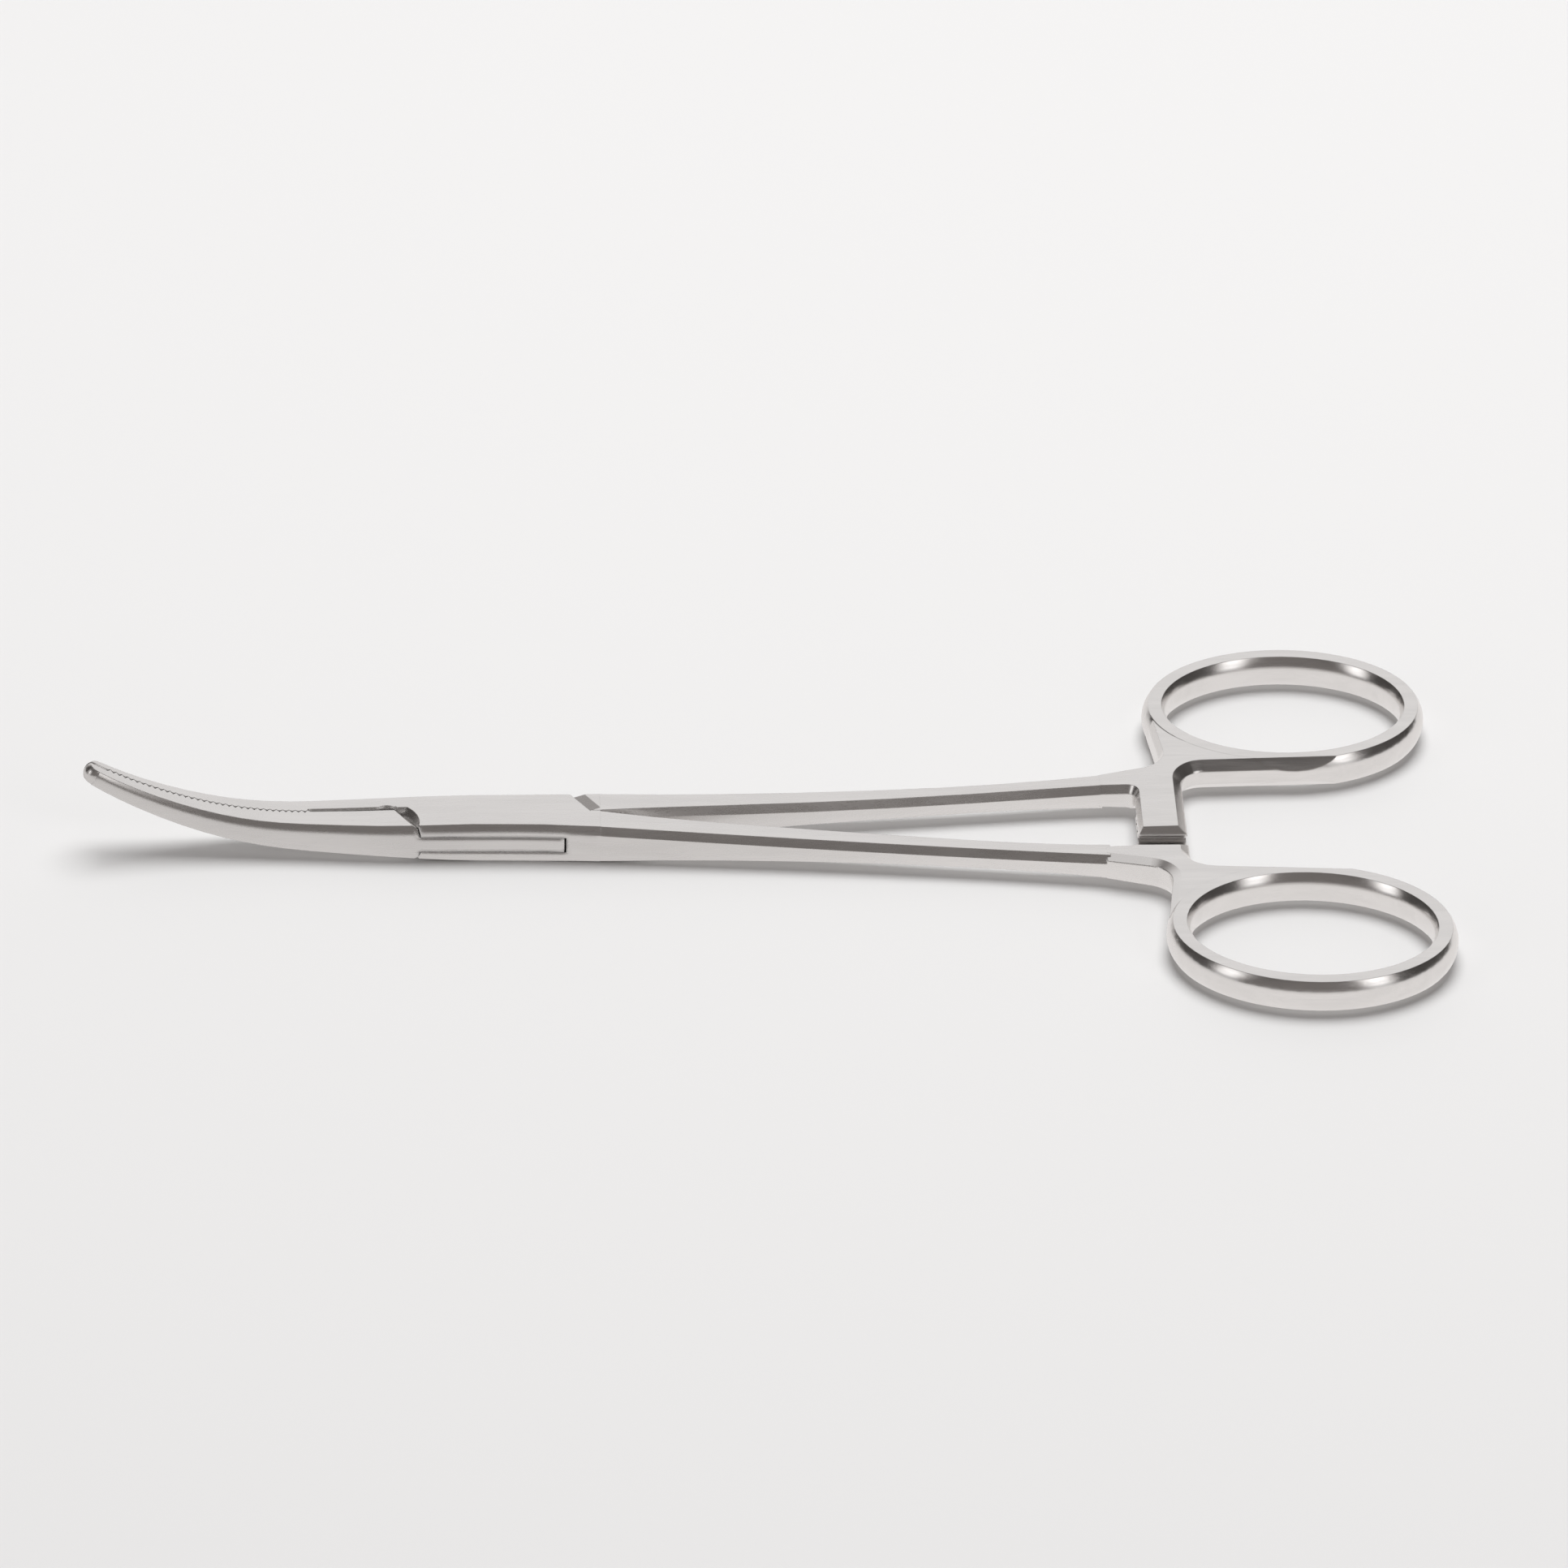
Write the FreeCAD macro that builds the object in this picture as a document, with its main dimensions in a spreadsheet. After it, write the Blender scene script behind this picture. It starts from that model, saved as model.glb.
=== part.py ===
import FreeCAD, Part
import math
import os
import Sketcher
from FreeCAD import Placement, Rotation, Vector

# Hemostat forceps with a box lock.
# The female half has a box with a slot through it, and the waist of the male half passes through
# that slot. A flush pin joins them. The jaws curve upwards and have cross teeth, and the two arms
# between the finger rings carry a ratchet.
# Frame: millimetres, +Z up, the pivot axis at X = Y = 0 and the underside of the box at Z = 0.
# The rings point along +X and the jaws along -X.

os.makedirs("parts", exist_ok=True)
doc = FreeCAD.newDocument("hemostat")

# Driving dimensions

SIZES = {
    # Box lock, measured at the pivot
    "box_height": (3.9, "thickness of the box at the pivot"),
    "box_flat": (5.25, "width of the flat top of the box"),
    "box_swell": (0.3, "half way from pivot to crotch: share of the change between the two"),
    "ground_off": (0.03, "what is ground off above and below, so the box is flat round its pin"),
    "bevel_run": (0.42, "width of the bevel along every long edge, seen from above"),
    "bevel_rise": (0.78, "height of the same bevel"),
    "front_reach": (8.0, "pivot to the front end of the box, where the jaws begin to taper"),
    "front_height": (3.42, "thickness there"),
    "front_flat": (5.2, "flat width there"),
    "root_reach": (9.8, "pivot to the crotch where the shanks part"),
    "root_height": (3.72, "thickness at the crotch"),
    "root_flat": (5.9, "flat width over both shanks at the crotch"),
    "crotch_run": (0.04, "width of the bevel along the inner edges of the shanks, at the crotch"),
    # Curved jaws
    "bend_start": (15.6, "pivot to the start of the bend"),
    "bend_radius": (40.6, "radius of the bend, along the middle of the jaws"),
    "bend_turn": (32.3, "turn of the bend from its start to the tip, degrees"),
    "bend_rise": (0.2, "how far the jaws have risen above the mid-plane where the bend starts"),
    "root_rise": (0.06, "how far they have risen at the front end of the box"),
    "tip_height": (1.44, "thickness at the tip"),
    "tip_flat": (1.7, "flat width over both jaws at the tip"),
    "tip_bevel_run": (0.28, "bevel width at the tip"),
    "tip_bevel_rise": (0.34, "bevel height at the tip"),
    "tip_ball": (1.15, "radius of the rounding of the tip"),
    "mate_offset": (0.3, "sideways place of the plane where the jaws meet"),
    "teeth_start": (16.7, "pivot to the first jaw tooth"),
    "tooth_pitch": (0.6, "pitch of the jaw teeth along the bend"),
    "tooth_depth": (0.24, "depth of the jaw teeth"),
    "tooth_count": (33, "number of jaw teeth"),
    "tooth_gap": (0.05, "clearance between the closed jaws, across the teeth"),
    "valley_depth": (0.16, "how much deeper the near jaw's valleys are than the teeth in them"),
    "tooth_blunt": (0.08, "what is taken off the tips of the far jaw's teeth"),
    "relief_depth": (0.62, "relief behind the teeth, cut in the jaw of the female half"),
    "relief_reach": (11.0, "pivot to where the relief has that depth"),
    "relief_end_depth": (0.36, "depth of the relief beside the first tooth"),
    # Shanks, as sections along their length
    "upper_reach": (20.0, "first section"),
    "upper_inner": (1.5, "inner edge of the flat"),
    "upper_flat": (2.07, "width of the flat"),
    "upper_height": (2.87, "thickness"),
    "middle_reach": (32.0, "second section"),
    "middle_inner": (2.8, "inner edge of the flat"),
    "middle_flat": (1.72, "width of the flat"),
    "middle_height": (2.27, "thickness"),
    "slim_reach": (44.0, "third section, the slimmest"),
    "slim_inner": (4.24, "inner edge of the flat"),
    "slim_flat": (1.45, "width of the flat"),
    "slim_height": (2.05, "thickness"),
    "heel_reach": (56.0, "last section, where the web of the handle begins"),
    "heel_inner": (5.45, "inner edge of the flat"),
    "heel_flat": (1.83, "width of the flat"),
    "heel_height": (2.5, "thickness"),
    # Finger rings
    "ring_past_arm": (10.3, "far edge of the ratchet arm to the centre of the ring, lengthwise"),
    "ring_spread": (20.0, "pivot to the centre of the ring, sideways"),
    "ring_long": (12.03, "half length of the ring, along the middle of its rim"),
    "ring_wide": (9.7, "half width of the ring, along the middle of its rim"),
    "ring_tilt": (3.2, "turn of the ring's long axis, degrees"),
    "ring_height": (3.02, "thickness of the rim"),
    "ring_flat": (1.25, "width of the flat on the rim"),
    "ring_bulge_depth": (0.55, "bulge of each side of the rim"),
    # Web and ratchet arm
    "arm_past_heel": (3.15, "last section of the shank to the near edge of the ratchet arm"),
    "arm_width": (4.45, "width of the ratchet arm"),
    "arm_past": (2.75, "how far the arm reaches past the middle"),
    "fork_rise": (1.55, "web edge at the foot of the arm, inside the middle line of the rim"),
    "fork_end_rise": (1.0, "the same edge under the middle of the ring"),
    "fork_bevel": (0.85, "bevel along the far edge of the arm, the fork and the rim"),
    "outer_past_arm": (2.85, "near edge of the arm to the corner between shank and ring"),
    "outer_rise": (1.7, "the same corner, outside the shank's outer edge"),
    "side_past_rim": (0.82, "where the web runs into the rim, before the rim's middle line"),
    "side_drop": (2.0, "the same place, inside the centre of the ring"),
    "seam_depth": (0.01, "tiny step where two shapes of one piece would otherwise share a face"),
    "slope_past_arm": (0.9, "far edge of the arm to where the web has the thickness of the ring"),
    "inner_fillet": (0.8, "fillet between the shank and the arm"),
    "fork_fillet": (2.4, "fillet between the arm and the ring"),
    "outer_fillet": (2.6, "fillet between the shank and the ring"),
    "pawl_pitch": (1.3, "pitch of the ratchet teeth"),
    "pawl_depth": (0.5, "depth of the ratchet teeth"),
    "pawl_count": (3, "number of ratchet teeth on each arm"),
    "pawl_gap": (0.08, "height between the tips of the two rows of ratchet teeth"),
    "pawl_ramp": (3.15, "length of the ramp from the ratchet teeth up to the web"),
    # Lock: slot, waist, diagonal joints and pin
    "slot_height": (1.54, "height of the slot through the box"),
    "slot_radius": (7.4, "radius of the slot's end walls about the pivot"),
    "waist_gap": (0.03, "clearance above and below the waist"),
    "waist_end_gap": (0.18, "clearance between the waist and the slot's end walls"),
    "front_side": (6.7, "front joint between cheek and shoulder, at the side of the box"),
    "front_middle": (8.5, "the same joint, at the middle of the box"),
    "rear_side": (7.2, "rear joint between cheek and shoulder, at the side of the box"),
    "rear_middle": (9.05, "the same joint, at the middle of the box"),
    "joint_gap": (0.14, "width of these joints"),
    "shoulder_bevel": (0.92, "bevel of the male half along the rear joint, seen from above"),
    "shoulder_bevel_depth": (0.56, "depth of that bevel"),
    "root_bevel": (0.45, "bevel of the male half along the front joint"),
    "root_bevel_depth": (0.35, "depth of that bevel"),
    "cheek_bevel": (0.2, "bevel of the cheeks along both joints"),
    "scoop_reach": (10.82, "pivot to the centre of the curved bevel of the cheeks, lengthwise"),
    "scoop_side": (2.0, "the same centre, sideways"),
    "scoop_radius": (4.12, "radius of the curved bevel at the face of the cheek"),
    "scoop_floor_radius": (3.3, "radius of its floor"),
    "scoop_depth": (0.9, "depth of the floor"),
    "scoop_far": (0.82, "sideways end of the curved bevel, beside the jaw"),
    "notch_reach": (9.8, "pivot to the round notch at that end, lengthwise"),
    "notch_side": (0.2, "centre of the notch, sideways"),
    "notch_radius": (1.0, "radius of the notch"),
    "split_gap": (0.06, "gap between the halves along the middle"),
    "pin_radius": (1.3, "radius of the lock pin"),
    "pin_flare": (1.65, "radius of its peened ends"),
    "pin_flare_height": (0.5, "height of the peened ends"),
    "pin_gap": (0.03, "radial running clearance of the pin in the waist"),
}

sheet = doc.addObject("Spreadsheet::Sheet", "sizes")
for row, (alias, (number, note)) in enumerate(SIZES.items(), start=1):
    sheet.set(f"A{row}", alias)
    sheet.set(f"B{row}", str(number))
    sheet.set(f"C{row}", note)
    sheet.setAlias(f"B{row}", alias)
doc.recompute()


class Size:
    """A length or angle that knows its number and the expression it comes from."""

    def __init__(self, number, text):
        self.number = float(number)
        self.text = text

    @staticmethod
    def of(other):
        return other if isinstance(other, Size) else Size(other, repr(other))

    def join(self, other, sign, number):
        return Size(number, f"({self.text} {sign} {Size.of(other).text})")

    def __add__(self, other):
        return self.join(other, "+", self.number + Size.of(other).number)

    def __sub__(self, other):
        return self.join(other, "-", self.number - Size.of(other).number)

    def __mul__(self, other):
        return self.join(other, "*", self.number * Size.of(other).number)

    def __truediv__(self, other):
        return self.join(other, "/", self.number / Size.of(other).number)

    def __neg__(self):
        return Size(-self.number, f"(-{self.text})")


def size(alias):
    return Size(sheet.get(alias), f"sizes.{alias}")


def sine(angle):
    return Size(math.sin(math.radians(angle.number)), f"sin({angle.text})")


def cosine(angle):
    return Size(math.cos(math.radians(angle.number)), f"cos({angle.text})")


def bind(thing, path, value):
    """Tie one property of an object to the sheet."""
    thing.setExpression(path, Size.of(value).text)


def place(thing, x=0.0, y=0.0, z=0.0, rotation=None):
    """Give an object its place, tied to the sheet, and an optional fixed turn."""
    x, y, z = Size.of(x), Size.of(y), Size.of(z)
    turn = rotation or Rotation()
    thing.Placement = Placement(Vector(x.number, y.number, z.number), turn)
    bind(thing, "Placement.Base.x", x)
    bind(thing, "Placement.Base.y", y)
    bind(thing, "Placement.Base.z", z)


MID = size("box_height") / 2
ARM_LEFT = size("heel_reach") + size("arm_past_heel")
ARM_RIGHT = ARM_LEFT + size("arm_width")
RING_REACH = ARM_RIGHT + size("ring_past_arm")
FORK = size("ring_spread") - size("ring_wide") - size("fork_rise")
FORK_END = size("ring_spread") - size("ring_wide") - size("fork_end_rise")


# Sketches

def new_sketch(body, name, plane, across=0.0, up=0.0, out=0.0, tilt=0.0):
    """A sketch on one of the body's planes, moved by tied offsets and tilted about its X axis."""
    sketch = body.newObject("Sketcher::SketchObject", name)
    sketch.AttachmentSupport = [(origin_feature(body, plane), "")]
    sketch.MapMode = "FlatFace"
    across, up, out, tilt = Size.of(across), Size.of(up), Size.of(out), Size.of(tilt)
    turn = Rotation(Vector(1, 0, 0), tilt.number)
    sketch.AttachmentOffset = Placement(Vector(across.number, up.number, out.number), turn)
    bind(sketch, "AttachmentOffset.Base.x", across)
    bind(sketch, "AttachmentOffset.Base.y", up)
    bind(sketch, "AttachmentOffset.Base.z", out)
    if tilt.number:
        bind(sketch, "AttachmentOffset.Rotation.Angle", tilt)
    return sketch


def measure(sketch, direction, start, end, value, name):
    """A named horizontal or vertical dimension between two points, tied to the sheet."""
    value = Size.of(value)
    if value.number < 0:
        start, end, value = end, start, -value
    index = sketch.addConstraint(
        Sketcher.Constraint("Distance" + direction, *start, *end, value.number))
    sketch.renameConstraint(index, name)
    bind(sketch, "Constraints." + name, value)


def closed_lines(sketch, corners):
    """Straight edges through the corners, in order, joined end to end."""
    points = [Vector(Size.of(x).number, Size.of(y).number, 0) for x, y in corners]
    count = len(points)
    for index in range(count):
        sketch.addGeometry(Part.LineSegment(points[index], points[(index + 1) % count]))
    for index in range(count):
        following = (index + 1) % count
        sketch.addConstraint(Sketcher.Constraint("Coincident", index, 2, following, 1))


def outline(sketch, corners):
    """A polygon whose every corner is dimensioned from the sketch's own origin."""
    closed_lines(sketch, corners)
    for index, (x, y) in enumerate(corners):
        for direction, value in (("X", x), ("Y", y)):
            if Size.of(value).number == 0:
                axis = -2 if direction == "X" else -1
                sketch.addConstraint(Sketcher.Constraint("PointOnObject", index, 1, axis))
            else:
                measure(sketch, direction, (-1, 1), (index, 1), value, f"corner_{index}_{direction}")


def octagon(sketch, flat, height, rise, inner_run, outer_run):
    """A flat bar's section: two flats, two upright sides and a bevel at each corner.

    The sketch's origin is the middle of its inner side.
    """
    half = height / 2
    side = half - rise
    far = inner_run + flat
    corners = [(inner_run, half), (far, half), (far + outer_run, side), (far + outer_run, -side),
               (far, -half), (inner_run, -half), (0, -side), (0, side)]
    outline(sketch, corners)


def body_with_label(label):
    body = doc.addObject("PartDesign::Body", label)
    body.Label = label
    return body


def loft(body, sections):
    doc.recompute()
    feature = body.newObject("PartDesign::AdditiveLoft", body.Name + "_loft")
    feature.Profile = sections[0]
    feature.Sections = sections[1:]
    feature.Ruled = False
    body.Tip = feature
    return feature


def origin_feature(body, role):
    """One of the planes or axes through the body's own origin."""
    return [feature for feature in body.Origin.OriginFeatures if feature.Role == role][0]


def pad(body, sketch, length, reverse=False, middle=False):
    feature = body.newObject("PartDesign::Pad", sketch.Name + "_pad")
    feature.Profile = sketch
    bind(feature, "Length", length)
    feature.Reversed = reverse
    feature.Midplane = middle
    body.Tip = feature
    return feature


# Box and jaws: one tapering bar over both halves

def jaw_bar():
    """Sections from the crotch to the tip, ground flat above and below the pivot.

    The taper is even from the end of the box on.
    """
    body = body_with_label("jaw_bar")
    run, rise = size("bevel_run"), size("bevel_rise")
    raw_height = size("box_height") + size("ground_off") * 2
    swell = size("box_swell")
    sections = []

    def section(name, x, z, flat, height, step_rise, step_run, tilt=0.0):
        half = flat / 2 + step_run
        sketch = new_sketch(body, name, "YZ_Plane", across=-half, up=z, out=x, tilt=tilt)
        octagon(sketch, flat, height, step_rise, step_run, step_run)
        sections.append(sketch)

    reach = size("front_reach")
    section("crotch", size("root_reach"), MID, size("root_flat"), size("root_height"), rise, run)
    back_flat = size("box_flat") + (size("root_flat") - size("box_flat")) * swell
    back_height = raw_height + (size("root_height") - raw_height) * swell
    section("box_back", size("root_reach") / 2, MID, back_flat, back_height, rise, run)
    section("pivot", 0, MID, size("box_flat"), raw_height, rise, run)
    section("jaw_root", -reach, MID + size("root_rise"), size("front_flat"), size("front_height"),
            rise, run)

    radius, turn, start = size("bend_radius"), size("bend_turn"), size("bend_start")
    straight = start - reach
    length = straight + radius * turn * (math.pi / 180)
    parts_of_bend = 4
    for step in range(parts_of_bend + 1):
        angle = turn * (step / parts_of_bend)
        share = (straight + radius * angle * (math.pi / 180)) / length

        def taper(first, last):
            return first + (last - first) * share

        x = -(start + radius * sine(angle))
        z = MID + size("bend_rise") + radius - radius * cosine(angle)
        section(f"bend_{step}", x, z, taper(size("front_flat"), size("tip_flat")),
                taper(size("front_height"), size("tip_height")),
                taper(rise, size("tip_bevel_rise")), taper(run, size("tip_bevel_run")), tilt=angle)
    loft(body, sections)
    for name, level, direction in (("bottom", Size.of(0), -1), ("top", size("box_height"), 1)):
        land = new_sketch(body, name + "_land", "XZ_Plane")
        outer = level + MID * direction
        outline(land, [(size("root_reach") + 1, level), (-reach, level),
                       (-reach, outer), (size("root_reach") + 1, outer)])
        grinding = body.newObject("PartDesign::Pocket", name + "_grinding")
        grinding.Profile = land
        grinding.Type = "ThroughAll"
        grinding.Midplane = True
        body.Tip = grinding
    return body


def boolean(kind, name, base, tool, label=None):
    feature = doc.addObject("Part::" + kind, name)
    feature.Base = base
    feature.Tool = tool
    if label:
        feature.Label = label
    return feature


def rounded_tip(bar):
    """The tip is rounded to a ball: what lies outside the ball, at the end, is cut off."""
    radius, turn, start = size("bend_radius"), size("bend_turn"), size("bend_start")
    ball_radius = size("tip_ball")
    back = turn - ball_radius / radius * (180 / math.pi)
    x = -(start + radius * sine(back))
    z = MID + size("bend_rise") + radius - radius * cosine(back)
    ball = doc.addObject("Part::Sphere", "tip_ball")
    bind(ball, "Radius", ball_radius)
    place(ball, x, 0, z)
    block = doc.addObject("Part::Box", "tip_block")
    block_size = ball_radius * 4
    for edge in ("Length", "Width", "Height"):
        bind(block, edge, block_size)
    swing = Rotation(Vector(0, 1, 0), back.number)
    corner = swing.multVec(Vector(-1, -0.5, -0.5) * block_size.number)
    block.Placement = Placement(Vector(x.number, 0, z.number) + corner, swing)
    waste = boolean("Cut", "tip_waste", block, ball)
    return boolean("Cut", "rounded_bar", bar, waste)


# Handle: shank, web with ratchet arm, and ring. It is drawn for the male half, on the +Y side.

def shank():
    body = body_with_label("shank")
    run, rise = size("bevel_run"), size("bevel_rise")
    inset = size("seam_depth")
    overlap = 0.3
    crotch_inner = size("split_gap") / 2
    crotch_run = size("crotch_run")
    crotch_flat = size("root_flat") / 2 - crotch_inner - crotch_run - inset
    sections = []
    crotch = new_sketch(body, "shank_crotch", "YZ_Plane", across=crotch_inner, up=MID,
                        out=size("root_reach") - overlap)
    octagon(crotch, crotch_flat, size("root_height") - inset * 2, rise, crotch_run, run)
    sections.append(crotch)
    for name in ("upper", "middle", "slim"):
        sketch = new_sketch(body, "shank_" + name, "YZ_Plane", across=size(name + "_inner") - run,
                            up=MID, out=size(name + "_reach"))
        octagon(sketch, size(name + "_flat"), size(name + "_height"), rise, run, run)
        sections.append(sketch)
    heel = new_sketch(body, "shank_heel", "YZ_Plane", across=size("heel_inner") - run + inset,
                      up=MID, out=size("heel_reach") + overlap)
    octagon(heel, size("heel_flat") - inset * 2, size("heel_height") - inset * 2, rise, run, run)
    sections.append(heel)
    loft(body, sections)
    return body


def ring_turn():
    return Rotation(Vector(0, 0, 1), size("ring_tilt").number)


def ring():
    """An oval rim: flat above and below, with bulging sides."""
    body = body_with_label("ring")
    path = new_sketch(body, "ring_path", "XY_Plane")
    middle = Vector(0, 0, 0)
    path.addGeometry(Part.Ellipse(middle, size("ring_long").number, size("ring_wide").number))
    half_flat, half_height = size("ring_flat") / 2, size("ring_height") / 2
    bulge = size("ring_bulge_depth")
    profile = new_sketch(body, "ring_profile", "XZ_Plane", across=size("ring_long"))
    flat, tall, out = half_flat.number, half_height.number, bulge.number
    corners = [Vector(-flat, tall, 0), Vector(flat, tall, 0),
               Vector(flat, -tall, 0), Vector(-flat, -tall, 0)]
    profile.addGeometry(Part.LineSegment(corners[0], corners[1]))
    profile.addGeometry(Part.Arc(corners[1], Vector(flat + out, 0, 0), corners[2]))
    profile.addGeometry(Part.LineSegment(corners[2], corners[3]))
    profile.addGeometry(Part.Arc(corners[3], Vector(-flat - out, 0, 0), corners[0]))
    doc.recompute()
    feature = body.newObject("PartDesign::AdditivePipe", "ring_pipe")
    feature.Profile = profile
    feature.Spine = path
    body.Tip = feature
    place(body, RING_REACH, size("ring_spread"), MID, ring_turn())
    return body


def rim_core():
    """The space inside the middle line of the rim, which the web doesn't enter."""
    core = doc.addObject("Part::Ellipse", "rim_line")
    bind(core, "MajorRadius", size("ring_long"))
    bind(core, "MinorRadius", size("ring_wide"))
    tall = size("box_height")
    place(core, RING_REACH, size("ring_spread"), MID - tall, ring_turn())
    solid = doc.addObject("Part::Extrusion", "rim_core")
    solid.Base = core
    solid.Solid = True
    solid.DirMode = "Custom"
    solid.Dir = Vector(0, 0, 1)
    bind(solid, "LengthFwd", tall * 2)
    return solid


def upright_edges(shape, corners):
    """Names of the upright edges that stand over the given plan points."""
    names = []
    for index, edge in enumerate(shape.Edges, start=1):
        first, last = edge.Vertexes[0].Point, edge.Vertexes[-1].Point
        if abs(first.x - last.x) + abs(first.y - last.y) > 1e-6:
            continue
        for x, y in corners:
            if math.hypot(first.x - x, first.y - y) < 0.01:
                names.append(f"Edge{index}")
    return names


def web():
    """The plate between shank, ratchet arm and ring.

    Its faces slope from the shank's thickness to the ring's.
    """
    body = body_with_label("web")
    run = size("bevel_run")
    half = size("ring_height") / 2 - size("seam_depth")
    left = size("heel_reach")
    inner = size("heel_inner") - run
    outer = inner + size("heel_flat") + run * 2
    arm_end = -size("arm_past")
    side_reach = RING_REACH - size("ring_long") - size("side_past_rim")
    side_spread = size("ring_spread") - size("side_drop")
    plan = new_sketch(body, "web_plan", "XY_Plane")
    corner_list = [(left, inner), (ARM_LEFT, inner), (ARM_LEFT, arm_end), (ARM_RIGHT, arm_end),
                   (ARM_RIGHT, FORK), (RING_REACH, FORK_END), (RING_REACH, size("ring_spread")),
                   (side_reach, side_spread),
                   (ARM_LEFT + size("outer_past_arm"), outer + size("outer_rise")),
                   (left, outer)]
    outline(plan, corner_list)
    pad(body, plan, half * 2, middle=True)
    doc.recompute()
    volume = body.Shape.Volume
    side = new_sketch(body, "web_side", "XZ_Plane")
    full = ARM_RIGHT + size("slope_past_arm")
    thin = size("heel_height") / 2
    spare = 1.0
    outline(side, [(left - spare, thin), (left, thin), (full, half),
                   (full, half + spare), (left - spare, half + spare)])
    slope = body.newObject("PartDesign::Pocket", "web_slope")
    slope.Profile = side
    slope.Type = "ThroughAll"
    slope.Midplane = True
    body.Tip = slope
    below = body.newObject("PartDesign::Mirrored", "web_slope_below")
    below.Originals = [slope]
    below.MirrorPlane = (origin_feature(body, "XY_Plane"), [""])
    body.Tip = below
    doc.recompute()
    if not body.Shape.Volume < volume:
        raise RuntimeError("the web's slopes cut nothing")
    last = below
    fillets = ((1, "inner_fillet"), (4, "fork_fillet"), (8, "outer_fillet"))
    for corner, radius in fillets:
        x, y = corner_list[corner]
        fillet = body.newObject("PartDesign::Fillet", radius + "s")
        fillet.Base = (last, upright_edges(last.Shape, [(x.number, y.number)]))
        bind(fillet, "Radius", size(radius))
        body.Tip = fillet
        doc.recompute()
        last = fillet
    fork_bevel = size("fork_bevel")
    for name, at_fork, rise, width in (("web_bevels", False, size("bevel_rise"), run),
                                       ("fork_bevels", True, fork_bevel, fork_bevel)):
        rims = [f"Edge{index}" for index, edge in enumerate(last.Shape.Edges, start=1)
                if is_rim(edge, left.number, full.number, thin.number, side_spread.number)
                and at_fork == (edge.BoundBox.XMin > ARM_RIGHT.number - 0.01)]
        bevel = body.newObject("PartDesign::Chamfer", name)
        bevel.Base = (last, rims)
        bevel.ChamferType = "Two distances"
        bind(bevel, "Size", rise)
        bind(bevel, "Size2", width)
        body.Tip = bevel
        doc.recompute()
        last = bevel
    place(body, 0, 0, MID)
    return body


def rim_bevels():
    """Carries the bevel of the fork on along the rim: a slanting bar above and one below."""
    half = size("ring_height") / 2
    spare = 1.0
    wide = size("ring_wide") / 4
    slope = math.degrees(math.atan2((FORK_END - FORK).number, size("ring_past_arm").number))
    bars = []
    for name, level in (("rim_bevel_top", 1), ("rim_bevel_bottom", -1)):
        body = body_with_label(name)
        sketch = new_sketch(body, name + "_profile", "YZ_Plane", out=size("fork_fillet"))
        top = size("fork_bevel") - size("seam_depth")
        outline(sketch, [(top + spare, (half + spare) * level), (top - wide, (half + spare) * level),
                         (top - wide, (half - wide) * level)])
        pad(body, sketch, size("ring_past_arm") + size("ring_long"))
        place(body, ARM_RIGHT, FORK, MID, Rotation(Vector(0, 0, 1), slope))
        bars.append(body)
    return bars


def is_rim(edge, heel, crease, level, hidden_from):
    """Whether an edge of the web runs round one of its faces, in sight.

    The joint with the shank, the crease where the slope ends and the edges inside the ring are
    left out.
    """
    box = edge.BoundBox
    on_face = box.ZMin * box.ZMax > 0 and min(abs(box.ZMin), abs(box.ZMax)) > level - 0.01
    at_heel = box.XMax < heel + 0.01
    on_crease = abs(box.XMin - crease) + abs(box.XMax - crease) < 1e-4
    in_ring = box.YMax > hidden_from + 0.01
    return on_face and not (at_heel or on_crease or in_ring)


def ratchet_cutter():
    """Takes away the lower half of the arm and leaves the ratchet teeth on its underside.

    Each tooth has a gentle flank towards the arm's end and an upright face towards its foot. A
    ramp leads from the teeth to the web.
    """
    body = body_with_label("ratchet_cutter")
    pitch, count = size("pawl_pitch"), int(size("pawl_count").number)
    tip = size("pawl_gap") / 2
    root = tip + size("pawl_depth")
    half = size("ring_height") / 2
    ramp = size("pawl_ramp")
    spare = 1.0
    lead = 0.2
    start = -(size("arm_past") + spare)
    first = -pitch * ((count + 1) / 2)
    corners = [(start, -half - spare), (start, root), (first, root)]
    for index in range(count):
        place_of_tooth = first + pitch * (index + 1)
        corners += [(place_of_tooth, tip), (place_of_tooth, root)]
    further = ramp / (root + half) * spare
    corners += [(size("arm_past"), root), (size("arm_past") + ramp + further, -half - spare)]
    sketch = new_sketch(body, "ratchet_profile", "YZ_Plane", out=ARM_LEFT - lead)
    outline(sketch, corners)
    pad(body, sketch, size("arm_width") + lead + spare)
    place(body, 0, 0, MID)
    return body


def fuse_all(name, shapes, label=None):
    feature = doc.addObject("Part::MultiFuse", name)
    feature.Shapes = shapes
    feature.Refine = True
    if label:
        feature.Label = label
    return feature


def turned_over(source, name):
    """The same piece for the other half: turned over about the instrument's long axis."""
    flipped = doc.addObject("Part::Mirroring", name + "_flipped")
    flipped.Source = source
    flipped.Normal = Vector(0, 0, 1)
    flipped.Base = Vector(0, 0, MID.number)
    bind(flipped, "Base.z", MID)
    result = doc.addObject("Part::Mirroring", name)
    result.Source = flipped
    result.Normal = Vector(0, 1, 0)
    return result


# Cutting tools of the lock and jaws

def prism(name, corners, bottom, tall):
    """An upright prism over a plan outline."""
    body = body_with_label(name)
    sketch = new_sketch(body, name + "_plan", "XY_Plane", out=bottom)
    outline(sketch, corners)
    pad(body, sketch, tall)
    return body


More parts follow.
